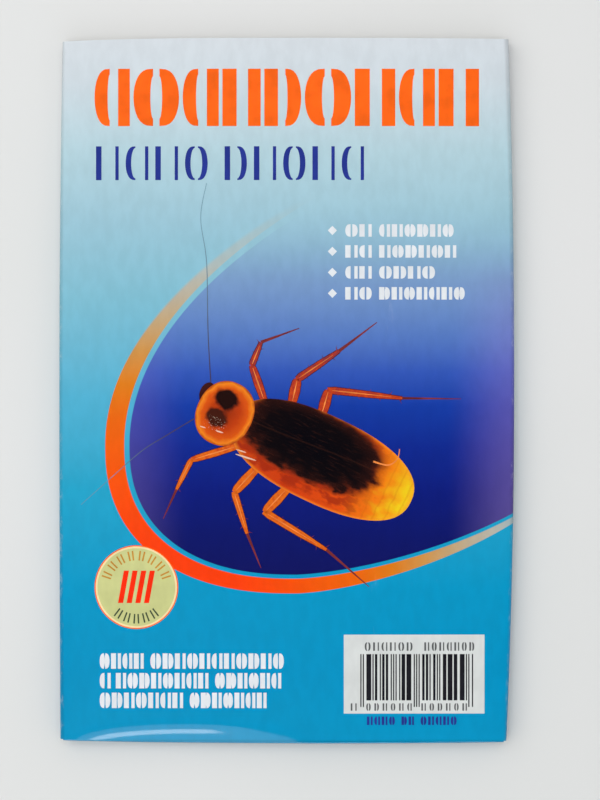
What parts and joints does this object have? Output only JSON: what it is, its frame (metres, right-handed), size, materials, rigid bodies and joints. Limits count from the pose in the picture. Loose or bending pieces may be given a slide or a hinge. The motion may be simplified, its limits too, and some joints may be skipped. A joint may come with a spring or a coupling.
{
  "type": "cockroach glue trap packet",
  "caption": "Flat glossy paperboard packet with an open mouth and a fold-under bottom flap, holding folded glue-board insect traps with release liners.",
  "frame": {"origin": "centre of the bounding box at its bottom, the face the packet lies on", "axes": "+X across the packet to the right of its printed face, +Y towards the open mouth, the top of the print, +Z out of the printed face"},
  "size_m": [0.124, 0.192, 0.0061],
  "materials": {
    "printed_card": "coated paperboard printed in blue, glossy varnish",
    "back_card": "coated paperboard, printed side, glossy varnish",
    "plain_card": "uncoated grey-white paperboard",
    "trap_board": "uncoated white folding board",
    "tacky_glue": "clear yellowish tacky adhesive",
    "waxed_liner": "silicone-coated release paper"
  },
  "bodies": {
    "packet": {"front_panel": "printed_card", "back_panel": "back_card", "left_side_panel": "printed_card", "right_side_panel": "printed_card", "glue_seam_flap": "plain_card"},
    "strip": {"bottom_strip": "printed_card"},
    "flap": {"bottom_flap": "plain_card"},
    "trap_1": {"trap_1_base": "trap_board", "trap_1_glue": "tacky_glue", "trap_1_roof_left": "trap_board", "trap_1_roof_right": "trap_board", "trap_1_lock_tab": "trap_board"},
    "trap_1_liner_sheet": {"trap_1_liner": "waxed_liner"},
    "trap_2": {"trap_2_base": "trap_board", "trap_2_glue": "tacky_glue", "trap_2_roof_left": "trap_board", "trap_2_roof_right": "trap_board", "trap_2_lock_tab": "trap_board"},
    "trap_2_liner_sheet": {"trap_2_liner": "waxed_liner"},
    "trap_3": {"trap_3_base": "trap_board", "trap_3_glue": "tacky_glue", "trap_3_roof_left": "trap_board", "trap_3_roof_right": "trap_board", "trap_3_lock_tab": "trap_board"},
    "trap_3_liner_sheet": {"trap_3_liner": "waxed_liner"},
    "trap_4": {"trap_4_base": "trap_board", "trap_4_glue": "tacky_glue", "trap_4_roof_left": "trap_board", "trap_4_roof_right": "trap_board", "trap_4_lock_tab": "trap_board"},
    "trap_4_liner_sheet": {"trap_4_liner": "waxed_liner"}
  },
  "joints": [
    {"name": "bottom_strip_hinge", "type": "hinge", "parent": "packet", "child": "strip", "pos_m": [0, -0.09565, 0.00575], "axis": [-1, 0, 0], "range_deg": [0, 90]},
    {"name": "bottom_flap_hinge", "type": "hinge", "parent": "strip", "child": "flap", "pos_m": [0, -0.09565, 0.00035], "axis": [-1, 0, 0], "range_deg": [0, 90]},
    {"name": "trap_1_slide", "type": "slide", "parent": "packet", "child": "trap_1", "axis": [0, 1, 0], "range_m": [0, 0.195]},
    {"name": "trap_2_slide", "type": "slide", "parent": "packet", "child": "trap_2", "axis": [0, 1, 0], "range_m": [0, 0.195]},
    {"name": "trap_3_slide", "type": "slide", "parent": "packet", "child": "trap_3", "axis": [0, 1, 0], "range_m": [0, 0.195]},
    {"name": "trap_4_slide", "type": "slide", "parent": "packet", "child": "trap_4", "axis": [0, 1, 0], "range_m": [0, 0.195]},
    {"name": "trap_1_liner_slide", "type": "slide", "parent": "trap_1", "child": "trap_1_liner_sheet", "axis": [0, 1, 0], "range_m": [0, 0.185]},
    {"name": "trap_2_liner_slide", "type": "slide", "parent": "trap_2", "child": "trap_2_liner_sheet", "axis": [0, 1, 0], "range_m": [0, 0.185]},
    {"name": "trap_3_liner_slide", "type": "slide", "parent": "trap_3", "child": "trap_3_liner_sheet", "axis": [0, 1, 0], "range_m": [0, 0.185]},
    {"name": "trap_4_liner_slide", "type": "slide", "parent": "trap_4", "child": "trap_4_liner_sheet", "axis": [0, 1, 0], "range_m": [0, 0.185]}
  ],
  "couplings": [
    {"joint": "bottom_flap_hinge", "follows": "bottom_strip_hinge", "ratio": 1}
  ]
}
